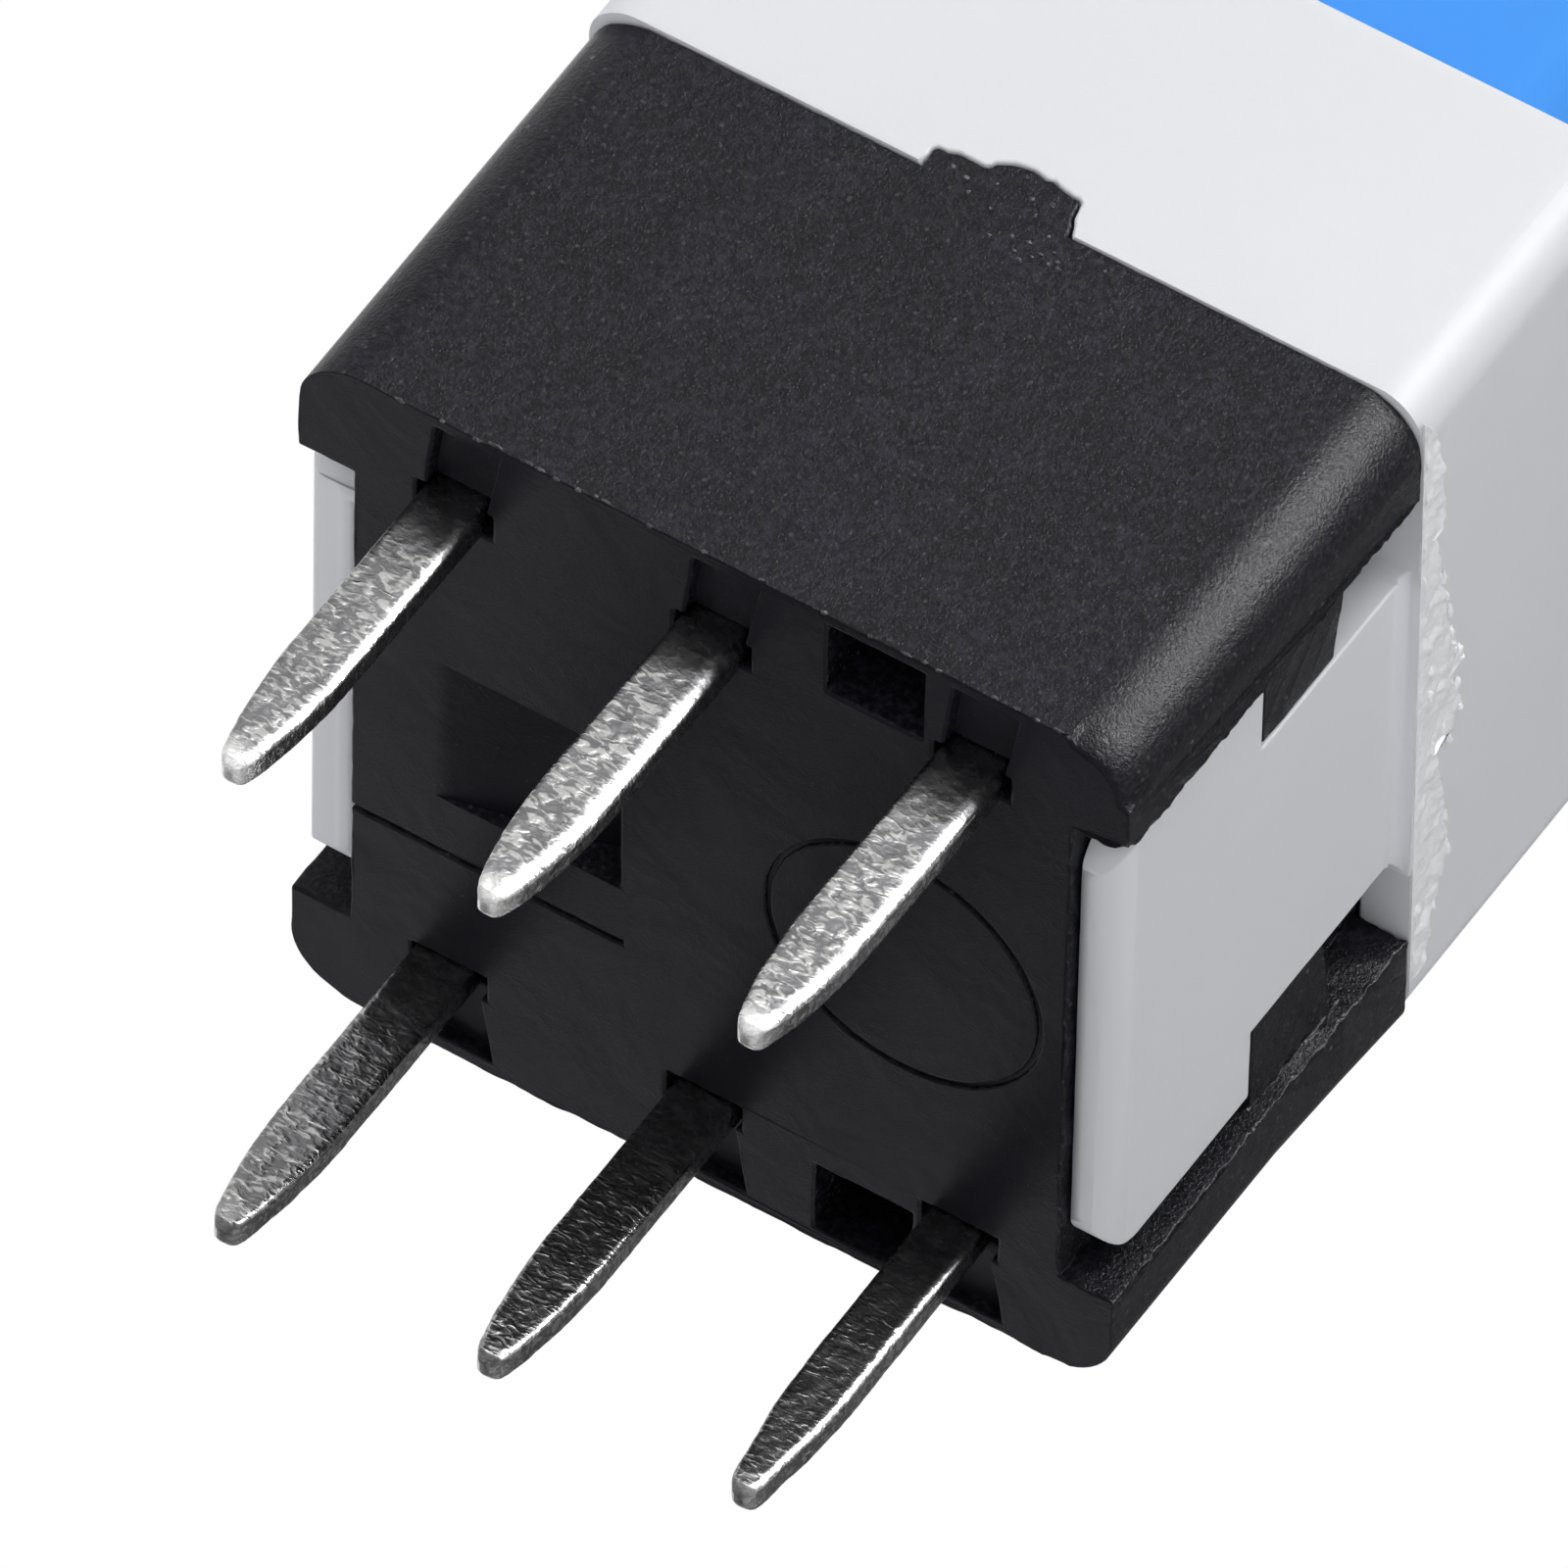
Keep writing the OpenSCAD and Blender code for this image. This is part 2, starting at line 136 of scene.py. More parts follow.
class Finish:
    """One material, built node by node. Lengths are in millimetres on the part."""

    def __init__(self, name, colour, roughness, metallic=0.0, specular=0.5):
        self.material = bpy.data.materials.new(name)
        self.material.use_nodes = True
        self.tree = self.material.node_tree
        self.shader = self.tree.nodes["Principled BSDF"]
        self.set("Base Color", (*colour, 1))
        self.set("Roughness", roughness)
        self.set("Metallic", metallic)
        self.set("Specular IOR Level", specular)
        where = self.node("ShaderNodeTexCoord")
        scale = self.node("ShaderNodeMapping")
        scale.inputs["Scale"].default_value = (1 / MM, 1 / MM, 1 / MM)
        self.link(where.outputs["Object"], scale.inputs["Vector"])
        self.place = scale.outputs["Vector"]
        self.facing = where.outputs["Normal"]

    def node(self, kind, **settings):
        made = self.tree.nodes.new(kind)
        for key, value in settings.items():
            setattr(made, key, value)
        return made

    def link(self, source, target):
        self.tree.links.new(source, target)

    def set(self, socket, value):
        self.shader.inputs[socket].default_value = value

    def stretched(self, scale, turn=(0, 0, 0)):
        """The place on the part, scaled and turned, for patterns with a direction."""
        made = self.node("ShaderNodeMapping")
        made.inputs["Scale"].default_value = scale
        made.inputs["Rotation"].default_value = turn
        self.link(self.place, made.inputs["Vector"])
        return made.outputs["Vector"]

    def grain(self, size, detail=2.0, distortion=0.0, place=None, roughness=0.5):
        """Noise from 0 to 1 with blobs of about the given size."""
        made = self.node("ShaderNodeTexNoise")
        made.inputs["Scale"].default_value = 1 / size
        made.inputs["Detail"].default_value = detail
        made.inputs["Roughness"].default_value = roughness
        made.inputs["Distortion"].default_value = distortion
        self.link(place or self.place, made.inputs["Vector"])
        return made.outputs["Fac"]

    def cells(self, size, output="Distance"):
        """Scattered cells: the distance from a cell's middle, or a chance value for each."""
        made = self.node("ShaderNodeTexVoronoi")
        made.inputs["Scale"].default_value = 1 / size
        self.link(self.place, made.inputs["Vector"])
        return made.outputs[output]

    def steps(self, value, *stops):
        """Maps a value through (position, grey or colour) stops."""
        made = self.node("ShaderNodeValToRGB")
        band = made.color_ramp.elements
        while len(band) < len(stops):
            band.new(0.5)
        for element, (position, shade) in zip(band, stops):
            element.position = position
            element.color = (*shade, 1) if isinstance(shade, tuple) else (shade, shade, shade, 1)
        self.link(value, made.inputs["Fac"])
        return made.outputs["Color"]

    def between(self, value, start, end):
        """Rises from 0 at start to 1 at end."""
        made = self.node("ShaderNodeMapRange")
        made.inputs["From Min"].default_value = start
        made.inputs["From Max"].default_value = end
        self.link(value, made.inputs["Value"])
        return made.outputs["Result"]

    def maths(self, operation, a, b):
        made = self.node("ShaderNodeMath", operation=operation)
        for socket, value in zip(made.inputs, (a, b)):
            if isinstance(value, (int, float)):
                socket.default_value = value
            else:
                self.link(value, socket)
        return made.outputs["Value"]

    def times(self, a, b):
        return self.maths("MULTIPLY", a, b)

    def blend(self, share, a, b, kind="MIX"):
        """Goes from colour a to colour b as the share goes from 0 to 1."""
        made = self.node("ShaderNodeMix", data_type="RGBA", blend_type=kind)
        for name, holds, value in (("Factor", "VALUE", share), ("A", "RGBA", a), ("B", "RGBA", b)):
            socket = next(s for s in made.inputs if s.name == name and s.type == holds)
            if isinstance(value, tuple):
                socket.default_value = (*value, 1)
            elif isinstance(value, (int, float)):
                socket.default_value = value
            else:
                self.link(value, socket)
        return next(s for s in made.outputs if s.type == "RGBA")

    def colour_from(self, output):
        self.link(output, self.shader.inputs["Base Color"])

    def roughness_from(self, output):
        self.link(output, self.shader.inputs["Roughness"])

    def relief(self, *layers):
        """Stacks bumps; each layer is a height output and its depth."""
        last = None
        for height, depth in layers:
            made = self.node("ShaderNodeBump")
            made.inputs["Distance"].default_value = depth * MM
            made.inputs["Strength"].default_value = 1.0
            self.link(height, made.inputs["Height"])
            if last:
                self.link(last, made.inputs["Normal"])
            last = made.outputs["Normal"]
        self.link(last, self.shader.inputs["Normal"])


# Painted glints, as pale flecks: cell size, where a fleck fades and ends, rarity and lightness
PAINTED_GLINT_FLECKS = ((0.26, 0.05, 0.11, 0.6, 0.12), (0.1, 0.1, 0.26, 0.5, 0.05))


def shade_of(colour, level):
    return tuple(c * level for c in colour)


def black_plastic():
    """Fine grit, pale flecks painted as glints on the upright faces, and a smoother underside."""
    colour = tuple(colours().base)
    finish = Finish("black_base_plastic", colour, 0.22, specular=0.1)
    facing = finish.node("ShaderNodeSeparateXYZ")
    finish.link(finish.facing, facing.inputs["Vector"])
    upright = finish.between(finish.maths("ABSOLUTE", facing.outputs["Z"], 0), 0.8, 0.4)
    grit = finish.grain(0.035, 3, roughness=0.65)
    swirl = finish.grain(1.4, 3, 0.6)
    patch = finish.steps(swirl, (0.3, shade_of(colour, 0.85)), (0.7, shade_of(colour, 1.2)))
    mottle = finish.steps(finish.grain(0.06, 3), (0.36, 0.5), (0.5, 1.0), (0.66, 2.1))
    mostly_upright = finish.times(upright, 0.8)
    patch = finish.blend(mostly_upright, patch, finish.blend(1.0, patch, mottle, "MULTIPLY"))
    # Painted glints: pale flecks, on the upright faces only.
    for size, inner, outer, rare, shade in PAINTED_GLINT_FLECKS:
        fleck = finish.steps(finish.cells(size), (inner, 1.0), (outer, 0.0))
        chance = finish.steps(finish.cells(size, output="Color"), (rare, 0.0), (rare + 0.08, 1.0))
        painted_glint = finish.times(finish.times(fleck, chance), upright)
        patch = finish.blend(painted_glint, patch, (shade, shade, shade * 1.06))
    finish.colour_from(patch)
    finish.roughness_from(finish.steps(grit, (0.3, 0.15), (0.7, 0.28)))
    rough_upright = finish.times(grit, finish.maths("ADD", mostly_upright, 0.2))
    finish.relief((rough_upright, 0.014), (finish.grain(0.012, 2), 0.003), (swirl, 0.02))
    return finish.material


def torn_plastic_and_sheen():
    """Greyish broken edges of the black plastic, their pale grey partly a painted sheen."""
    finish = Finish("torn_black_plastic_and_sheen", (0.06, 0.06, 0.066), 0.55, specular=0.2)
    tear = finish.grain(0.05, 3)
    # Painted sheen: the pale grey is partly the torn plastic's own grey and partly a painted sheen on
    # these edges.
    dark, pale = (0.022, 0.022, 0.026), (0.115, 0.115, 0.122)
    finish.colour_from(finish.steps(tear, (0.36, dark), (0.6, pale)))
    finish.relief((tear, 0.01))
    return finish.material


def white_plastic():
    """Satin white that lets a little light in."""
    colour = tuple(colours().cover)
    finish = Finish("white_cover_plastic", colour, 0.5, specular=0.12)
    cloud = finish.grain(2.2, 2, 0.4)
    finish.colour_from(finish.steps(cloud, (0.3, shade_of(colour, 0.985)), (0.7, colour)))
    finish.set("Subsurface Weight", 0.12)
    finish.set("Subsurface Radius", (1.0, 1.0, 1.0))
    finish.set("Subsurface Scale", 0.3 * MM)
    finish.relief((finish.grain(0.06, 2), 0.0015), (finish.grain(1.2, 2), 0.02))
    return finish.material


def fresh_plastic():
    """Torn flash of the white plastic, a little lighter than the cover."""
    finish = Finish("fresh_white_plastic", (0.93, 0.935, 0.95), 0.5, specular=0.25)
    tear = finish.grain(0.07, 3)
    finish.colour_from(finish.steps(tear, (0.3, (0.88, 0.885, 0.9)), (0.7, (0.96, 0.965, 0.975))))
    finish.relief((tear, 0.012))
    return finish.material


def blue_plastic():
    """Smooth blue with a few dark specks in it."""
    colour = tuple(colours().button)
    finish = Finish("blue_button_plastic", colour, 0.16, specular=0.35)
    cloud = finish.grain(1.6, 2, 0.3)
    dust = finish.steps(finish.cells(0.5), (0.06, 1.0), (0.1, 0.0))
    chance = finish.steps(finish.cells(0.5, output="Color"), (0.8, 0.0), (0.83, 1.0))
    tone = finish.steps(cloud, (0.3, shade_of(colour, 0.94)), (0.7, colour))
    finish.colour_from(finish.blend(finish.times(dust, chance), tone, (0.02, 0.1, 0.4)))
    finish.relief((finish.grain(0.5, 2), 0.006), (finish.grain(0.04, 2), 0.0006))
    return finish.material


def tin_plating():
    """Bright worm-like streaks, darker towards the base, with painted shade on the rear row and a
    painted highlight on the tips.
    """
    colour = tuple(colours().tin)
    finish = Finish("tin_plating", colour, 0.25, metallic=1.0)
    split = finish.node("ShaderNodeSeparateXYZ")
    finish.link(finish.place, split.inputs["Vector"])
    height, depth = split.outputs["Z"], split.outputs["Y"]
    low = finish.between(height, -0.35, -1.3)
    front = finish.between(depth, 1.0, -1.0)
    # Painted highlight: the tips are coloured nearly white, fully on the front row and a quarter as
    # much on the rear row.
    tip_highlight_by_row = finish.maths("ADD", finish.times(front, 0.75), 0.25)
    tip = finish.times(finish.between(height, -3.05, -3.3), tip_highlight_by_row)
    worms = finish.grain(0.075, 1.5, 1.0, place=finish.stretched((0.55, 1, 1.1), (0, 0.35, 0)))
    fine = finish.grain(0.025, 2)
    patch = finish.grain(0.35, 2, 0.5)
    dull = finish.steps(patch, (0.35, shade_of(colour, 0.75)), (0.7, shade_of(colour, 1.15)))
    streaks = finish.steps(worms, (0.48, 0.0), (0.62, 1.0))
    bright = finish.times(streaks, finish.between(height, 0.3, -0.9))
    coat = finish.blend(bright, dull, (0.5, 0.5, 0.49))
    # Painted shade: the rear row of legs is coloured a tenth of the way to near black.
    rear_row_painted_shade = finish.blend(0.1, coat, (0.03, 0.028, 0.026))
    coat = finish.blend(front, rear_row_painted_shade, coat)
    finish.colour_from(finish.blend(tip, coat, (0.86, 0.86, 0.85)))
    finish.roughness_from(finish.steps(worms, (0.35, 0.3), (0.65, 0.2)))
    waves = finish.times(worms, low)
    finish.relief((waves, 0.01), (fine, 0.001), (finish.grain(0.22, 2), 0.012))
    return finish.material


def wire_steel():
    """Drawn spring wire."""
    finish = Finish("spring_wire_steel", tuple(colours().steel), 0.3, metallic=1.0)
    drawn = finish.grain(0.05, 2, place=finish.stretched((1, 1, 0.3)))
    finish.roughness_from(finish.steps(drawn, (0.3, 0.24), (0.7, 0.4)))
    finish.relief((drawn, 0.002))
    return finish.material


def clip_bronze():
    """Rolled bronze strip."""
    colour = tuple(colours().bronze)
    finish = Finish("contact_bronze", colour, 0.32, metallic=1.0)
    rolled = finish.grain(0.08, 2, place=finish.stretched((0.2, 1, 1)))
    finish.colour_from(finish.steps(rolled, (0.3, shade_of(colour, 0.85)), (0.7, colour)))
    finish.roughness_from(finish.steps(rolled, (0.3, 0.26), (0.7, 0.4)))
    finish.relief((rolled, 0.002))
    return finish.material


# What makes each finish: the CAD part's material slots, and two more for torn plastic
FINISHES = {
    "base_plastic": black_plastic, "cover_plastic": white_plastic, "button_plastic": blue_plastic,
    "tin_plate": tin_plating, "spring_steel": wire_steel, "contact_bronze": clip_bronze,
    "torn": torn_plastic_and_sheen, "fresh": fresh_plastic,
}
MADE = {}


def finish_for(name):
    """Makes each finish once."""
    if name not in MADE:
        MADE[name] = FINISHES[name]()
    return MADE[name]


# ---- fine shape ----

def millimetre_mesh(node):
    """The node's mesh in millimetres, with its flat faces whole again."""
    mesh = bmesh.new()
    mesh.from_mesh(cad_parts[node].data)
    bmesh.ops.scale(mesh, vec=(1 / MM,) * 3, verts=mesh.verts)
    bmesh.ops.remove_doubles(mesh, verts=mesh.verts, dist=MERGE)
    bmesh.ops.dissolve_limit(mesh, angle_limit=math.radians(0.5), verts=mesh.verts, edges=mesh.edges,
                             use_dissolve_boundaries=False)
    return mesh


def object_of(mesh, name, unit=MM):
    """Makes an object of a mesh, which is used up."""
    bmesh.ops.scale(mesh, vec=(unit,) * 3, verts=mesh.verts)
    data = bpy.data.meshes.new(name)
    mesh.to_mesh(data)
    mesh.free()
    piece = bpy.data.objects.new(name, data)
    bpy.context.scene.collection.objects.link(piece)
    return piece


def is_sharp(edge):
    return len(edge.link_faces) == 2 and edge.calc_face_angle(0) > math.radians(SHARP_TURN)


def split_edges(mesh, step_at):
    """Gives long sharp edges enough points to wear them."""
    for edge in [e for e in mesh.edges if is_sharp(e)]:
        step = step_at((edge.verts[0].co + edge.verts[1].co) / 2)
        if edge.calc_length() > 2 * step:
            bmesh.ops.subdivide_edges(mesh, edges=[edge], cuts=int(edge.calc_length() / step))


def wander(point, wave, depth):
    """Edges of a moulding are never quite straight."""
    place = point / wave
    return noise.noise_vector(place) * depth + noise.noise_vector(place * 3.1) * depth * 0.5


def room_beside(loop, sharp):
    """The largest rounding that a face leaves for one of its edges."""
    start = loop.vert.co
    along = loop.link_loop_next.vert.co - start
    length = along.length
    if length < 1e-6:
        return 0.0
    along = along / length
    normal = loop.face.normal
    inward = normal.cross(along)
    room = 1.0
    for other in loop.face.loops:
        if other.edge == loop.edge:
            continue
        share = 0.45 if other.edge in sharp else 0.85
        first = other.vert.co - start
        last = other.link_loop_next.vert.co - start
        if other in (loop.link_loop_next, loop.link_loop_prev):
            a, b = (along, last - first) if other == loop.link_loop_next else (last - first, along)
            run = (last - first).length
            turn = math.atan2(a.cross(b).dot(normal), a.dot(b))
            if turn > 0.02:
                inner = math.pi - turn
                if other.edge in sharp:
                    room = min(room, share * min(length, run) * math.tan(inner / 2))
                else:
                    room = min(room, share * run * math.sin(inner))
                    if inner < math.pi / 2:
                        room = min(room, 0.45 * length * math.tan(inner))
            continue
        x0, x1 = sorted((first.dot(along), last.dot(along)))
        if x1 < 1e-4 or x0 > length - 1e-4:
            continue
        low = min(first.dot(inward), last.dot(inward))
        if x0 < 0 or x1 > length:
            ends = []
            for place in (max(x0, 0), min(x1, length)):
                part = (place - first.dot(along)) / (last.dot(along) - first.dot(along))
                ends.append(first.dot(inward) + part * (last.dot(inward) - first.dot(inward)))
            low = min(ends)
        if low > 1e-5:
            room = min(room, share * low)
    return room


def straight_runs(mesh, sharp):
    """Groups the sharp edges that follow each other without a corner."""
    run_of = {edge: [edge] for edge in sharp}
    for vert in mesh.verts:
        pair = [e for e in vert.link_edges if e in sharp]
        if len(pair) != 2:
            continue
        a, b = pair
        out_a, out_b = a.other_vert(vert).co - vert.co, b.other_vert(vert).co - vert.co
        if out_a.angle(out_b, 0) < math.radians(150) or run_of[a] is run_of[b]:
            continue
        short, long = sorted((run_of[a], run_of[b]), key=len)
        long.extend(short)
        for edge in short:
            run_of[edge] = long
    return {id(run): run for run in run_of.values()}.values()


def evaluated(piece):
    """Applies the piece's modifiers to its mesh."""
    graph = bpy.context.evaluated_depsgraph_get()
    data = bpy.data.meshes.new_from_object(
        piece.evaluated_get(graph), preserve_all_data_layers=True, depsgraph=graph)
    old = piece.data
    piece.modifiers.clear()
    piece.data = data
    bpy.data.meshes.remove(old)
    return data


def inside_box(data):
    """Keeps every point inside the CAD part's box."""
    for vert in data.vertices:
        for axis in range(3):
            vert.co[axis] = min(max(vert.co[axis], CAD_BOX[0][axis]), CAD_BOX[1][axis])


def shade_smooth(data, crisp_turn):
    data.polygons.foreach_set("use_smooth", [True] * len(data.polygons))
    data.set_sharp_from_angle(angle=math.radians(crisp_turn))


def rounded(mesh, name, radius, segments=3, wear=None):
    """Makes an object of the mesh, its sharp edges rounded where there is room, then worn."""
    weight = mesh.edges.layers.float.new("bevel_weight_edge")
    mesh.normal_update()
    sharp = {e for e in mesh.edges if is_sharp(e)}
    for run in straight_runs(mesh, sharp):
        room = min(room_beside(loop, sharp) for edge in run for loop in edge.link_loops)
        for edge in run:
            edge[weight] = min(1.0, room / radius) if room > LEAST_ROUNDING else 0.0
    piece = object_of(mesh, name)
    edge = piece.modifiers.new("edges", "BEVEL")
    edge.limit_method, edge.width, edge.segments = "WEIGHT", radius * MM, segments
    edge.use_clamp_overlap, edge.miter_outer, edge.loop_slide = False, "MITER_SHARP", False
    data = evaluated(piece)
    noise.seed_set(7)  # the edges wander the same way each time
    for vert in data.vertices if wear else ():
        point = vert.co / MM
        vert.co = (point + wear(point)) * MM
    inside_box(data)
    shade_smooth(data, ROUNDED_CRISP)
    even = piece.modifiers.new("even_light", "WEIGHTED_NORMAL")
    even.keep_sharp = True
    even.weight = 80
    evaluated(piece)
    return piece


def left_out_of_gloss():
    """The pieces that the gloss light leaves out, since it would wash out their top."""
    name = "left_out_of_gloss"
    return bpy.data.collections.get(name) or bpy.data.collections.new(name)


def leave_out_of_gloss(piece):
    group = left_out_of_gloss()
    group.objects.link(piece)
    group.collection_objects[-1].light_linking.link_state = "EXCLUDE"


def fit(piece, body, slot, finish=None):
    """Gives a piece its finish, its body and its material slot."""
    piece.data.materials.clear()
    piece.data.materials.append(finish_for(finish or slot))
    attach(piece, body)
    return piece


def smooth_piece(mesh, name, body, slot, finish=None):
    """A piece from a mesh in millimetres that has its final shape."""
    bmesh.ops.recalc_face_normals(mesh, faces=mesh.faces)
    piece = object_of(mesh, name)
    inside_box(piece.data)
    shade_smooth(piece.data, LOFTED_CRISP)
    return fit(piece, body, slot, finish)


def refinish(node, slot):
    """A CAD piece that keeps its shape."""
    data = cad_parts[node].data
    data.materials.clear()
    data.materials.append(finish_for(slot))


def ramp(value, low, high):
    """0 below low, 1 above high, and a smooth rise between them."""
    share = min(max((value - low) / (high - low), 0), 1)
    return share * share * (3 - 2 * share)


def near(point, place, reach):
    """1 at the place, falling to 0 at the reach."""
    return 1 - ramp((point - Vector(place)).length, 0, reach)


def add_crumbs(mesh, spots):
    """Small torn lumps; each spot is a place and its half widths."""
    for place, half in spots:
        ball = bmesh.ops.create_icosphere(mesh, subdivisions=2, radius=1.0)["verts"]
        for vert in ball:
            lump = 0.85 + 0.7 * noise.noise(vert.co * 1.9 + Vector(place) * 7)
            vert.co = Vector(place) + Vector([c * h * lump for c, h in zip(vert.co, half)])


def along_points(points, value):
    """Reads a line of (place, level) points at the given place."""
    for (x0, y0), (x1, y1) in zip(points, points[1:]):
        if value <= x1:
            return y0 + (y1 - y0) * min(max((value - x0) / (x1 - x0), 0), 1)
    return points[-1][1]


# Outline of the broken-off gate, as (X, Z), from its left foot to its right one
GATE_OUTLINE = (
    (-0.80, 4.46), (-0.83, 4.56), (-0.84, 4.63), (-0.81, 4.67), (-0.71, 4.67), (-0.62, 4.71),
    (-0.48, 4.705), (-0.385, 4.705), (-0.338, 4.725), (-0.325, 4.78), (-0.27, 4.81), (-0.2, 4.865),
    (-0.12, 4.88), (-0.02, 4.895), (0.115, 4.86), (0.165, 4.89), (0.24, 4.855), (0.385, 4.825),
    (0.437, 4.834), (0.478, 4.8), (0.496, 4.71), (0.514, 4.622), (0.56, 4.55), (0.60, 4.48))
# Numbers of the outline's points at its two top corners and at its end
GATE_LEFT, GATE_RIGHT, GATE_END = 3, 18, len(GATE_OUTLINE) - 1


def ragged_gate(mesh, left, right, foot, top, back, grow):
    """Bends the square sides of the gate, or of its notch, into the broken outline."""
    def on_side(vert):
        x, y, z = vert.co
        if y > back + 0.02 or not left - 0.01 < x < right + 0.01 or not foot - 0.02 < z < top + 0.01:
            return False
        return abs(x - left) < ON_PLANE or abs(x - right) < ON_PLANE or abs(z - top) < ON_PLANE

    for count, axis, level in ((GATE_LEFT, 0, left), (GATE_RIGHT - GATE_LEFT, 2, top),
                               (GATE_END - GATE_RIGHT, 0, right)):
        edges = [e for e in mesh.edges
                 if all(on_side(v) and abs(v.co[axis] - level) < ON_PLANE for v in e.verts)
                 and abs(e.verts[0].co.y - e.verts[1].co.y) < ON_PLANE and e.calc_length() > 0.1]
        bmesh.ops.subdivide_edges(mesh, edges=edges, cuts=count - 1, use_grid_fill=True)
    for vert in mesh.verts:
        x, y, z = vert.co
        if not on_side(vert) or z < foot + 0.05:
            continue
        if abs(z - top) < ON_PLANE:
            place = GATE_LEFT + (x - left) / (right - left) * (GATE_RIGHT - GATE_LEFT)
        elif abs(x - left) < ON_PLANE:
            place = (z - foot) / (top - foot) * GATE_LEFT
        else:
            place = GATE_END - (z - foot) / (top - foot) * (GATE_END - GATE_RIGHT)
        index = min(int(place + 1e-6), GATE_END - 1)
        share = place - index
        (x0, z0), (x1, z1) = GATE_OUTLINE[index], GATE_OUTLINE[index + 1]
        vert.co.x = x0 + (x1 - x0) * share + grow * (1 if x > (left + right) / 2 else -1)
        vert.co.z = z0 + (z1 - z0) * share + grow


# ---- one operator for each piece or group ----

def slice_corner(mesh, inside, heights):
    """Cuts one corner's faces at the given heights."""
    for height in heights:
        faces = [f for f in mesh.faces if all(inside(v.co) for v in f.verts)]
        edges = {e for f in faces for e in f.edges}
        geom = [*faces, *edges, *{v for f in faces for v in f.verts}]
        bmesh.ops.bisect_plane(mesh, geom=geom, plane_co=(0, 0, height), plane_no=(0, 0, 1))


def square_lower_edges(mesh):
    """Takes the chamfer off the lower outer edges, which get a fine rounding instead."""
    for vert in mesh.verts:
        x, y, z = vert.co
        if z < 0.031 and (abs(y) > 3.44 or abs(x) > 3.96):
            vert.co.z = 0
            if abs(y) < 3:
                vert.co.x = math.copysign(BASE_X, x)
    bmesh.ops.remove_doubles(mesh, verts=mesh.verts, dist=MERGE)
    mesh.normal_update()
    flat = [e for e in mesh.edges if all(v.co.z < 1e-5 for v in e.verts) and len(e.link_faces) == 2
            and all(f.normal.z < -0.999 for f in e.link_faces)]
    bmesh.ops.dissolve_edges(mesh, edges=flat, use_verts=False)


# The left recess starts this much further back than the right one
LEFT_SLOT_SHIFT = 0.085
# Height over which the lower front right corner is short
SHORT_CORNER_TOP = 0.32


def shape_base(mesh):
    """Leans the left face out, tightens one rear corner and shortens a front one."""
    square_lower_edges(mesh)
    slice_corner(mesh, lambda p: p.x > 3.2 and p.y > 2.8, (2.6, 3.6))
    slice_corner(mesh, lambda p: p.x > 3.38 and p.y < -3.43, (0.1, 0.2, SHORT_CORNER_TOP))
    outer = CORNER_RADIUS - 0.01
    for vert in mesh.verts:
        x, y, z = vert.co
        lean = 0.008 + 0.03 * z / SEAM + 0.05 * ramp(y, 0, 3) * (1 - z / 4.6)
        vert.co.x -= ramp(-x, CORNER_X, BASE_X) * lean
        if x < -RECESS_X and abs(y + RECESS_Y) < 0.01:
            vert.co.y += LEFT_SLOT_SHIFT
        if x > 3.395 and y > 3.445 and math.hypot(x - CORNER_X, y - CORNER_Y) > outer:
            radius = 0.57 - 0.33 * ramp(z, 2.4, 4.9)
            turn = math.atan2(y - CORNER_Y, x - CORNER_X)
            vert.co.x = BASE_X - radius + radius * math.cos(turn)
            vert.co.y = BASE_Y - radius + radius * math.sin(turn)
        if x > 3.41 and y < -3.46 and z < 0.31 and math.hypot(x - CORNER_X, y + CORNER_Y) > outer:
            short = 0.09 * (1 - z / SHORT_CORNER_TOP) ** 1.5
            vert.co.x -= short * (x - CORNER_X) / CORNER_RADIUS
            vert.co.y -= short * (y + CORNER_Y) / CORNER_RADIUS


def base_step(point):
    """Distance of the points along an edge: close on the right face and the rear bottom edge."""
    right = point.x > 3.3 and -3.2 < point.y < 3.2
    rear_bottom = point.y > 3.9 and point.z < 0.1
    return 0.045 if right or rear_bottom else 0.12


def base_wear(point):
    """Edges wander, are ragged round the right recess, and carry flash at the rear bottom."""
    shift = wander(point, 0.25, 0.008)
    recess = ramp(point.x, 3.3, 3.44) * (1 - ramp(abs(abs(point.y) - RECESS_Y), 0.04, 0.12))
    sill = ramp(point.x, 3.3, 3.44) * (1 - ramp(point.x, 3.5, 3.6)) * (1 - ramp(point.z, 0.04, 0.1))
    shift += wander(point, 0.1, 0.022) * max(recess, sill)
    shift += Vector((-0.03, -0.03, 0.06)) * near(point, (BASE_X, -RECESS_Y, 0), 0.16)
    rear_bottom = ramp(point.y, 3.95, 4.04) * (1 - ramp(point.z, 0.03, 0.12))
    shift.y += 0.03 * (0.4 + noise.noise(point / 0.3)) * rear_bottom
    return shift


# Torn flecks of flash along the front bottom edge, as (X, half length)
EDGE_FLECKS = (
    (-3.03, 0.06), (-2.62, 0.03), (-2.28, 0.05), (-2.12, 0.08), (-1.82, 0.08), (-1.68, 0.06),
    (-1.52, 0.035), (-1.3, 0.03), (-1.15, 0.025), (-1.05, 0.05), (-0.62, 0.03), (-0.1, 0.03),
    (0.45, 0.04), (1.06, 0.035), (1.5, 0.03), (1.85, 0.07), (2.02, 0.03), (2.16, 0.035),
    (2.68, 0.05), (2.9, 0.04), (3.1, 0.03), (3.3, 0.05), (3.42, 0.04))
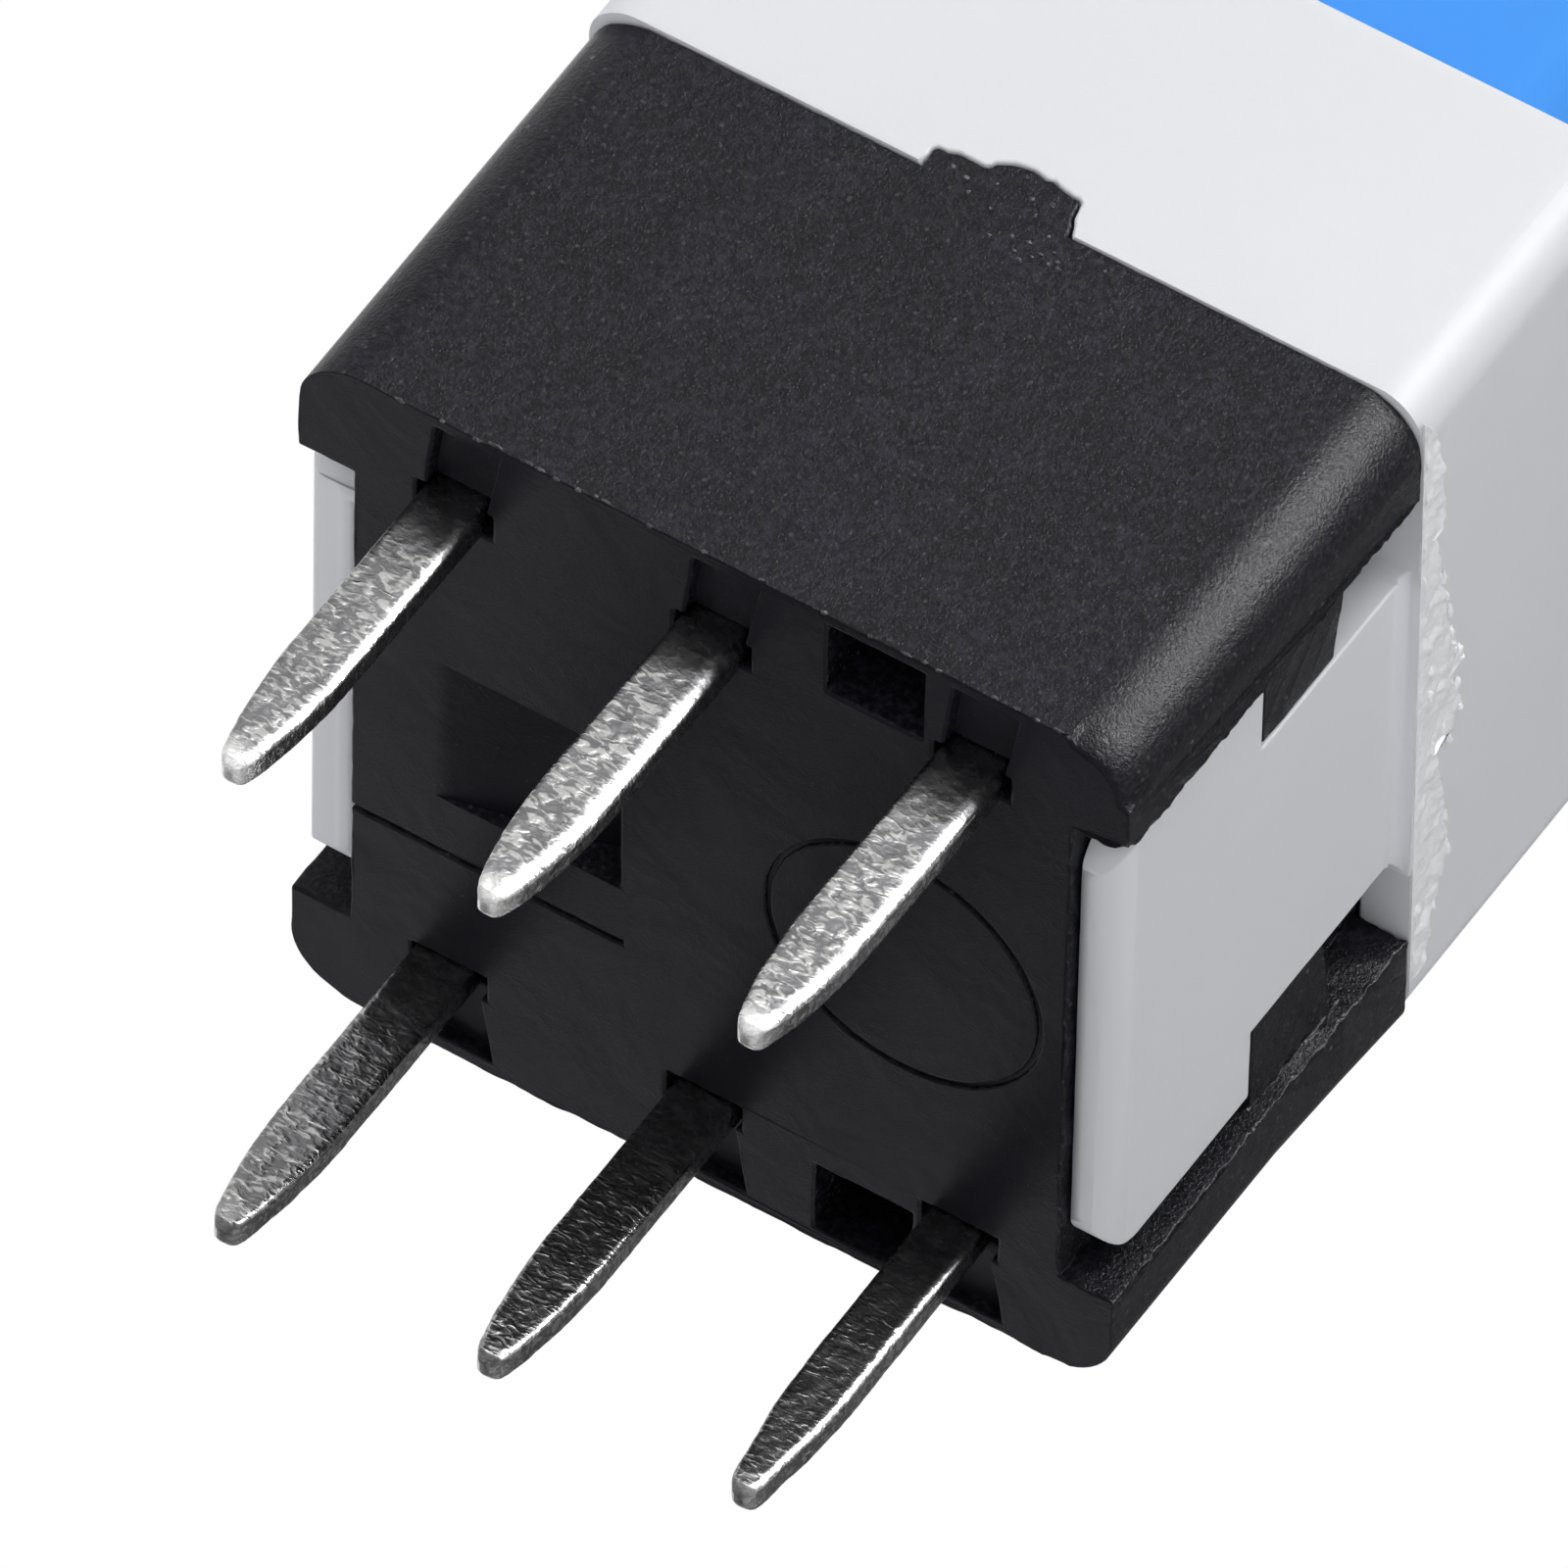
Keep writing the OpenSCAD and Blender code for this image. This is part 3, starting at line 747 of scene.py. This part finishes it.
# Torn flecks on the front face under the gate, as (X, Z), and the Y of all front flecks
GATE_FLECKS = (
    (0.04, 4.11), (0.1, 4.17), (0.2, 4.2), (0.3, 4.08), (0.38, 4.02), (0.45, 4.1), (0.5, 4.16),
    (0.61, 4.11), (0.66, 4.17), (0.705, 4.11), (0.58, 4.24), (0.35, 4.22), (1.03, 4.3),
    (0.45, 4.36), (0.24, 4.49), (0.12, 4.62), (0.3, 4.66), (-0.2, 4.6), (-0.45, 4.52), (-0.6, 4.56),
    (-0.35, 4.4), (-0.1, 4.35))
FLECK_Y = -4.052


def base_flecks():
    """Torn flecks of the base: front bottom edge, gate, and rear of the right recess."""
    dice = random.Random(4)
    spots = []
    for x, half in EDGE_FLECKS:
        place = (x, FLECK_Y, 0.006 + dice.uniform(-0.01, 0.02))
        spots.append((place, (half, 0.022, dice.uniform(0.012, 0.022))))
    for x, z in GATE_FLECKS:
        spots.append(((x, FLECK_Y, z), (dice.uniform(0.016, 0.034), 0.02, dice.uniform(0.014, 0.03))))
    for z in (3.22, 3.34, 3.46, 3.58, 3.68):
        spots.append(((3.86 - 0.02 * dice.random(), 2.915, z), (0.018, 0.012, 0.07)))
    for step in range(46):
        place = (3.99 - dice.random() * 0.03, RECESS_Y + dice.uniform(-0.01, 0.02), 0.2 + step * 0.09)
        if dice.random() < 0.55:
            spots.append((place, (0.012, dice.uniform(0.01, 0.03), dice.uniform(0.015, 0.035))))
    return spots


class SWITCH_OT_base(bpy.types.Operator):
    """Makes the black base and the flecks of flash on it"""
    bl_idname = "switch.base"
    bl_label = "Base"

    def execute(self, context):
        mesh = millimetre_mesh("base")
        shape_base(mesh)
        ragged_gate(mesh, left=-0.82, right=0.58, foot=SEAM, top=4.78, back=-3.52, grow=0.0)
        split_edges(mesh, base_step)
        piece = rounded(mesh, "base_moulding", sizes().base_edge, wear=base_wear)
        fit(piece, "housing", "base_plastic")
        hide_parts("base")
        flecks = bmesh.new()
        add_crumbs(flecks, base_flecks())
        smooth_piece(flecks, "base_flash_flecks", "housing", "base_plastic", "torn")
        return {"FINISHED"}


# Upper edge of the flash along the cover's rim on the right side, as (Y, Z)
RIM_FLASH = (
    (-3.9, 4.47), (-3.62, 4.64), (-3.2, 4.75), (-2.85, 4.78), (-2.6, 4.84), (-2.29, 4.84),
    (-2.25, 4.69), (-2.0, 4.74), (-1.67, 4.83), (-1.45, 4.86), (-1.07, 4.92), (-0.72, 5.02),
    (-0.6, 5.0), (-0.48, 5.12), (-0.18, 5.26), (-0.14, 5.06), (-0.05, 5.06), (0.15, 5.18),
    (0.49, 5.2), (0.6, 5.11), (0.64, 4.85), (0.94, 4.89), (1.38, 5.0), (1.82, 5.06), (2.28, 5.13),
    (2.47, 5.06), (2.6, 4.95), (2.85, 4.87), (3.16, 4.85), (3.4, 4.78), (3.5, 4.62))
# Lumps in that flash, as (Y, Z, half length, half height)
RIM_LUMPS = (
    (-2.1, 4.7, 0.12, 0.02), (-1.57, 4.85, 0.1, 0.02), (-1.27, 4.9, 0.09, 0.02),
    (-1.0, 4.98, 0.1, 0.02), (-0.69, 5.02, 0.07, 0.025), (-0.46, 4.73, 0.08, 0.05),
    (-0.4, 5.08, 0.07, 0.03), (-0.3, 5.14, 0.1, 0.045), (-0.2, 5.18, 0.05, 0.04),
    (-0.18, 4.7, 0.07, 0.03), (0.1, 5.13, 0.09, 0.045), (0.32, 5.14, 0.07, 0.04),
    (0.45, 5.19, 0.06, 0.03), (0.48, 4.93, 0.08, 0.025), (0.57, 4.77, 0.12, 0.025),
    (0.72, 5.05, 0.06, 0.03), (1.14, 4.9, 0.12, 0.02), (1.73, 5.03, 0.1, 0.02),
    (2.2, 5.1, 0.1, 0.02), (2.75, 4.9, 0.1, 0.02))
# Set-back of the right face, which keeps its flash inside the CAD part's box
SIDE_SET_BACK = 0.06
# The rim under the flash: its height in front, and its rise towards the rear
RIM_FOOT, RIM_RISE = 4.46, 0.0185
# The left tongue stands out by this much more than the right one
LEFT_TONGUE_BULGE = 0.19


def add_rim_flash():
    """Thin ragged flash that the mould left above the cover's rim."""
    mesh = bmesh.new()
    columns, rows = 220, 14
    first, last = RIM_FLASH[0][0], RIM_FLASH[-1][0]
    grid = []
    for i in range(columns + 1):
        y = first + (last - first) * i / columns
        rim = RIM_FOOT + RIM_RISE * (y + BASE_Y)
        top = along_points(RIM_FLASH, y) + 0.012 * noise.noise(Vector((y * 9, 0, 3)))
        column = []
        for j in range(rows + 1):
            u = j / rows
            z = rim + (top - rim) * u
            bump = noise.noise(Vector((4, y * 5, z * 7)))
            bump += 0.5 * noise.noise(Vector((9, y * 14, z * 16)))
            ridge = ramp(u, 0.45, 0.85) * (1 - ramp(u, 0.9, 1.0))
            height = SIDE_SET_BACK * (0.2 + 0.45 * ridge + 0.75 * bump)
            height = min(max(height, 0.002), SIDE_SET_BACK)
            if j in (0, rows) or i in (0, columns):
                height = -0.02
            column.append(mesh.verts.new((COVER_HALF - SIDE_SET_BACK + height, y, z)))
        grid.append(column)
    back = [[mesh.verts.new((4.02, column[j].co.y, column[j].co.z)) for j in (0, rows)]
            for column in grid]
    for a, b in zip(grid, grid[1:]):
        for j in range(rows):
            mesh.faces.new((a[j], b[j], b[j + 1], a[j + 1]))
    for i in range(columns):
        mesh.faces.new((back[i][0], back[i][1], back[i + 1][1], back[i + 1][0]))
        mesh.faces.new((grid[i][0], back[i][0], back[i + 1][0], grid[i + 1][0]))
        mesh.faces.new((grid[i][rows], grid[i + 1][rows], back[i + 1][1], back[i][1]))
    for i in (0, columns):
        mesh.faces.new([grid[i][j] for j in range(rows + 1)] + [back[i][1], back[i][0]])
    add_crumbs(mesh, [((4.03, y, z), (0.037, long, tall * 1.2)) for y, z, long, tall in RIM_LUMPS])
    smooth_piece(mesh, "cover_rim_flash", "housing", "cover_plastic", "fresh")


class SWITCH_OT_cover(bpy.types.Operator):
    """Makes the white cover"""
    bl_idname = "switch.cover"
    bl_label = "Cover"

    def execute(self, context):
        mesh = millimetre_mesh("cover")
        ragged_gate(mesh, left=-0.85, right=0.61, foot=SEAM, top=4.81, back=-3.49, grow=0.012)
        for vert in mesh.verts:
            if vert.co.z > SEAM - 0.05:
                vert.co.x -= SIDE_SET_BACK * ramp(vert.co.x, COVER_HALF - 0.5, COVER_HALF)
            elif vert.co.x < -RECESS_X and vert.co.z < 4.3:
                if vert.co.x < -3.75:
                    vert.co.x -= LEFT_TONGUE_BULGE
                if vert.co.y < -2.4:
                    vert.co.y += LEFT_SLOT_SHIFT
        split_edges(mesh, lambda point: 0.2)
        piece = rounded(mesh, "cover_moulding", sizes().cover_edge,
                        wear=lambda point: wander(point, 0.4, 0.003))
        fit(piece, "housing", "cover_plastic")
        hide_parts("cover")
        add_rim_flash()
        return {"FINISHED"}


class SWITCH_OT_button(bpy.types.Operator):
    """Makes the blue button"""
    bl_idname = "switch.button"
    bl_label = "Button"

    def execute(self, context):
        piece = rounded(millimetre_mesh("button"), "button_moulding", sizes().button_edge)
        fit(piece, "slider", "button_plastic")
        leave_out_of_gloss(piece)
        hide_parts("button")
        return {"FINISHED"}


# Half width of a leg against the distance from its tip
LEG_OUTLINE = (
    (0, 0.045), (0.03, 0.085), (0.08, 0.12), (0.15, 0.148), (0.3, 0.18), (0.5, 0.214), (0.7, 0.244),
    (0.9, 0.266), (1.1, 0.281), (1.3, 0.288), (1.6, 0.29), (4, 0.29))
# Half thickness and length of a leg, and how far its loft reaches up into the base
LEG_HALF_T, LEG_LENGTH, LEG_TOP = 0.15, 3.35, 0.3
# Points of a loft along a leg and around it
LEG_RINGS, LEG_AROUND = 130, 64
# How each leg differs: shift along X, change of half width, share of the edge roll, and bend of
# its tip along X and Y
LEG_FITS = {
    "terminal_nc_front": (0.0, 0.0, 0.75, 0.0, -0.03),
    "terminal_common_front": (0.0, 0.018, 1.15, -0.03, 0),
    "terminal_no_front": (0.0, 0.018, 0.95, -0.03, 0),
    "terminal_nc_rear": (-0.045, 0.0, 0.35, -0.01, 0.02),
    "terminal_common_rear": (0.035, 0.0, 0.5, -0.01, 0),
    "terminal_no_rear": (-0.02, -0.03, 0.55, 0.02, 0),
}


def leg_ring(half, thick, roll):
    """Points of one section: a flat strip whose front right edge is rolled over further."""
    points = []
    roll = min(roll, half * 0.8, thick * 1.2)
    for share in (0, 0.06, 0.14, 0.24, 0.5, 0.76, 0.86, 0.94, 1):
        belly = 0.15 * roll * math.sin(math.pi * share) ** 0.7
        points.append((half - roll + roll * share + belly * 0.4,
                       -thick + 0.55 * roll * share - belly * 0.7))
    for sx, sy, start, radius in ((1, 1, 0, 0.05), (-1, 1, 90, 0.05), (-1, -1, 180, 0.05)):
        radius = min(radius, half * 0.9, thick * 0.9)
        for k in range(6):
            turn = math.radians(start + 90 * k / 5)
            points.append((sx * (half - radius) + radius * math.cos(turn),
                           sy * (thick - radius) + radius * math.sin(turn)))
    return points


def resampled(points, count):
    """The same closed line with the given count of evenly spaced points."""
    lengths = [math.dist(a, b) for a, b in zip(points, points[1:] + points[:1])]
    total, out, index, gone = sum(lengths), [], 0, 0.0
    for k in range(count):
        goal = total * k / count
        while gone + lengths[index] < goal:
            gone += lengths[index]
            index += 1
        share = (goal - gone) / max(lengths[index], 1e-9)
        a, b = points[index], points[(index + 1) % len(points)]
        out.append((a[0] + (b[0] - a[0]) * share, a[1] + (b[1] - a[1]) * share))
    return out


def add_leg(mesh, node, x, side):
    """Lofts one plated leg from its root in the base down to its tip."""
    bottom = CAD_BOX[0].z / MM
    shift, wider, roll, *bend = LEG_FITS[node]
    seed = Vector((x * 3.7, side * 5.3, 0))
    loops = []
    for i in range(LEG_RINGS + 1):
        share = (i / LEG_RINGS) ** 1.35
        away = share * (LEG_TOP - bottom)
        z = bottom + away
        half = along_points(LEG_OUTLINE, away) + wider * ramp(away, 0.05, 0.5)
        thick = LEG_HALF_T * math.sqrt(1 - (1 - min(away / 0.09, 1)) ** 2 * 0.8)
        swing = (1 - min(away / LEG_LENGTH, 1)) ** 1.5
        loop = []
        for px, py in resampled(leg_ring(half, thick, sizes().leg_roll * roll), LEG_AROUND):
            place = Vector((px, py, z)) + seed
            out = Vector((px, py, 0)).normalized()
            rough = 0.006 * noise.noise(place / 0.22) + 0.004 * noise.noise(place / 0.07)
            rough *= 0.35 + 0.65 * (1 - ramp(away, 1.2, 2.8))
            if z > -0.1:
                rough *= 0.2
            px, py = px + out.x * rough, py + out.y * rough
            loop.append(mesh.verts.new((x + shift + px + bend[0] * swing,
                                        side * ROW + py + bend[1] * swing, z)))
        loops.append(loop)
    for a, b in zip(loops, loops[1:]):
        for k in range(LEG_AROUND):
            after = (k + 1) % LEG_AROUND
            mesh.faces.new((a[k], a[after], b[after], b[k]))
    mesh.faces.new(loops[0][::-1])
    mesh.faces.new(loops[-1])


class SWITCH_OT_terminals(bpy.types.Operator):
    """Makes the six plated terminals"""
    bl_idname = "switch.terminals"
    bl_label = "Terminals"

    def execute(self, context):
        for node in TERMINALS:
            kind, side_name = node.split("_")[1:]
            x = {"nc": -PITCH, "common": 0.0, "no": PITCH}[kind]
            side = SIDES[side_name]
            inner = millimetre_mesh(node)
            geom = [*inner.verts, *inner.edges, *inner.faces]
            cut = bmesh.ops.bisect_plane(inner, geom=geom, plane_co=(0, 0, LEG_TOP - 0.05),
                                         plane_no=(0, 0, -1), clear_outer=True)
            rim = [e for e in cut["geom_cut"] if isinstance(e, bmesh.types.BMEdge)]
            bmesh.ops.contextual_create(inner, geom=rim)
            strip = rounded(inner, "strip", 0.03, segments=2)
            mesh = bmesh.new()
            mesh.from_mesh(strip.data)
            bpy.data.objects.remove(strip)
            bmesh.ops.scale(mesh, vec=(1 / MM,) * 3, verts=mesh.verts)
            add_leg(mesh, node, x, side)
            name = node.replace("terminal", "plated_terminal")
            piece = smooth_piece(mesh, name, "housing", "tin_plate")
            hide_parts(node)
        return {"FINISHED"}


class SWITCH_OT_inside(bpy.types.Operator):
    """Gives the spring, lock pin and contact clips their finish"""
    bl_idname = "switch.inside"
    bl_label = "Inner parts"

    def execute(self, context):
        for node in ("return_spring", "lock_pin"):
            refinish(node, "spring_steel")
        for side in SIDES:
            refinish(f"contact_clip_{side}", "contact_bronze")
        return {"FINISHED"}


# ---- stage ----

CAMERA_PLACE = Vector((99.542, -233.594, -160.332)) * MM
CAMERA_FORWARD = Vector((-0.33074084, 0.77631604, 0.53660405))
CAMERA_RIGHT = Vector((0.84207667, -0.01393231, 0.53917786))
# Focal length as a share of the frame's width, and the sensor's width in millimetres
FOCAL_SHARE, SENSOR = 37437.03 / 1600, 36.0
# Half width of the floor, its gap under the legs, and where it fades, in metres
FLOOR_HALF, FLOOR_GAP, FADE = 1.5, 0.02 * MM, (0.007, 0.045)
# What the lamps point at
LIT_POINT = Vector((0, 0, 0.002))
# Even light on the part from the world
AMBIENT = 0.22


def add_camera():
    """A long lens that looks up at the underside."""
    data = bpy.data.cameras.new("camera")
    data.sensor_width = SENSOR
    data.lens = FOCAL_SHARE * SENSOR
    data.clip_start, data.clip_end = 0.01, 10
    camera = bpy.data.objects.new("camera", data)
    bpy.context.scene.collection.objects.link(camera)
    back = -CAMERA_FORWARD.normalized()
    right = (CAMERA_RIGHT - back * CAMERA_RIGHT.dot(back)).normalized()
    up = back.cross(right)
    turn = Matrix((right, up, back)).transposed().to_4x4()
    camera.matrix_world = Matrix.Translation(CAMERA_PLACE) @ turn
    bpy.context.scene.camera = camera


def flat_square(name, half):
    """A plain square, with a half width in metres."""
    mesh = bmesh.new()
    bmesh.ops.create_grid(mesh, x_segments=1, y_segments=1, size=half)
    return object_of(mesh, name, unit=1)


def seen_or_reflected(tree):
    """1 for what the eye or a reflection sees, 0 for light that falls on the part."""
    path = tree.nodes.new("ShaderNodeLightPath")
    seen = path.outputs["Is Camera Ray"]
    for ray in ("Is Glossy Ray", "Is Transmission Ray"):
        either = tree.nodes.new("ShaderNodeMath")
        either.operation = "MAXIMUM"
        tree.links.new(seen, either.inputs[0])
        tree.links.new(path.outputs[ray], either.inputs[1])
        seen = either.outputs["Value"]
    return seen


def add_floor():
    """A pale floor under the legs. It fades to white away from them, and is open from below."""
    floor = flat_square("floor", FLOOR_HALF)
    floor.location.z = CAD_BOX[0].z - FLOOR_GAP
    finish = Finish("floor", colours().floor, 0.8, specular=0.2)
    side = finish.node("ShaderNodeNewGeometry")
    away = finish.node("ShaderNodeVectorMath", operation="LENGTH")
    finish.link(side.outputs["Position"], away.inputs[0])
    far = finish.node("ShaderNodeMapRange", interpolation_type="SMOOTHSTEP")
    far.inputs["From Min"].default_value, far.inputs["From Max"].default_value = FADE
    finish.link(away.outputs["Value"], far.inputs["Value"])
    white = finish.times(far.outputs["Result"], seen_or_reflected(finish.tree))
    last = finish.shader.outputs["BSDF"]
    for kind, share in (("Emission", white), ("BsdfTransparent", side.outputs["Backfacing"])):
        mix = finish.node("ShaderNodeMixShader")
        finish.link(share, mix.inputs["Fac"])
        finish.link(last, mix.inputs[1])
        finish.link(finish.node("ShaderNode" + kind).outputs[0], mix.inputs[2])
        last = mix.outputs["Shader"]
    finish.link(last, finish.tree.nodes["Material Output"].inputs["Surface"])
    floor.data.materials.append(finish.material)


def add_softbox(name, direction, distance, size, level, gloss=True, gloss_only=False):
    """Square soft light. Level is the light that it gives a white surface that faces it."""
    data = bpy.data.lights.new(name, "AREA")
    data.shape = "SQUARE"
    data.size = size
    data.energy = level * math.pi ** 2 * distance ** 2
    lamp = bpy.data.objects.new(name, data)
    towards = Vector(direction).normalized()
    lamp.location = LIT_POINT + towards * distance
    lamp.rotation_mode = "QUATERNION"
    lamp.rotation_quaternion = towards.to_track_quat("Z", "Y")
    lamp.visible_camera = False
    lamp.visible_glossy = gloss
    lamp.visible_diffuse = not gloss_only
    if gloss_only:
        lamp.light_linking.receiver_collection = left_out_of_gloss()
    bpy.context.scene.collection.objects.link(lamp)


def add_grey_card(direction, distance, size, grey):
    """A card that only reflections show. It keeps the right side from shining."""
    card = flat_square("grey_card", size / 2)
    towards = Vector(direction).normalized()
    card.location = towards * distance
    card.rotation_mode = "QUATERNION"
    card.rotation_quaternion = towards.to_track_quat("Z", "Y")
    for ray in ("visible_camera", "visible_diffuse", "visible_shadow", "visible_transmission"):
        setattr(card, ray, False)
    finish = Finish("grey_card", (0, 0, 0), 0.5, specular=0)
    finish.set("Emission Color", (grey, grey, grey, 1))
    finish.set("Emission Strength", 1)
    card.data.materials.append(finish.material)


def add_world(ambient):
    """White to the eye and in reflections, and a lower even light on the part."""
    world = bpy.data.worlds.new("studio")
    bpy.context.scene.world = world
    world.use_nodes = True
    tree = world.node_tree
    back = tree.nodes["Background"]
    back.inputs["Color"].default_value = (1, 1, 1, 1)
    level = tree.nodes.new("ShaderNodeMapRange")
    level.inputs["To Min"].default_value = ambient
    level.inputs["To Max"].default_value = 1.0
    tree.links.new(seen_or_reflected(tree), level.inputs["Value"])
    tree.links.new(level.outputs["Result"], back.inputs["Strength"])


class SWITCH_OT_stage(bpy.types.Operator):
    """Sets the floor, the lights and the camera"""
    bl_idname = "switch.stage"
    bl_label = "Stage"

    def execute(self, context):
        add_camera()
        add_floor()
        add_world(AMBIENT)
        add_softbox("key_light", (0.15, -0.98, 0.12), 0.35, 0.3, 0.66)
        add_softbox("side_light", (0.72, -0.62, 0.3), 0.024, 0.012, 0.08, gloss=False)
        add_softbox("top_light", (-0.25, -0.15, 0.95), 0.35, 0.3, 0.45, gloss=False)
        add_softbox("back_light", (-0.6, 0.75, 0.3), 0.35, 0.3, 0.42, gloss=False)
        add_softbox("gloss_light", (0.53, -0.655, 0.537), 0.35, 0.2, 4.6, gloss_only=True)
        add_grey_card((0.331, 0.776, 0.537), 0.3, 0.4, 0.2)
        context.scene.view_settings.view_transform = "Standard"
        return {"FINISHED"}


class SWITCH_PT_panel(bpy.types.Panel):
    """Lists the pieces of the switch"""
    bl_idname = "SWITCH_PT_panel"
    bl_label = "Push button switch"
    bl_space_type = "VIEW_3D"
    bl_region_type = "UI"
    bl_category = "Switch"

    def draw(self, context):
        for group in (context.scene.switch_sizes, context.scene.switch_colours):
            for name in group.__annotations__:
                self.layout.prop(group, name)
        for step in OPERATORS:
            self.layout.operator(step.bl_idname)


OPERATORS = (SWITCH_OT_stage, SWITCH_OT_base, SWITCH_OT_cover, SWITCH_OT_button,
             SWITCH_OT_terminals, SWITCH_OT_inside)
GROUPS = (SwitchSizes, SwitchColours)


def register():
    for kind in (*GROUPS, *OPERATORS, SWITCH_PT_panel):
        bpy.utils.register_class(kind)
    bpy.types.Scene.switch_sizes = bpy.props.PointerProperty(type=SwitchSizes)
    bpy.types.Scene.switch_colours = bpy.props.PointerProperty(type=SwitchColours)


def unregister():
    del bpy.types.Scene.switch_sizes
    del bpy.types.Scene.switch_colours
    for kind in reversed((*GROUPS, *OPERATORS, SWITCH_PT_panel)):
        bpy.utils.unregister_class(kind)


def main():
    register()
    for step in OPERATORS:
        group, name = step.bl_idname.split(".")
        getattr(getattr(bpy.ops, group), name)()


if __name__ == "__main__":
    main()
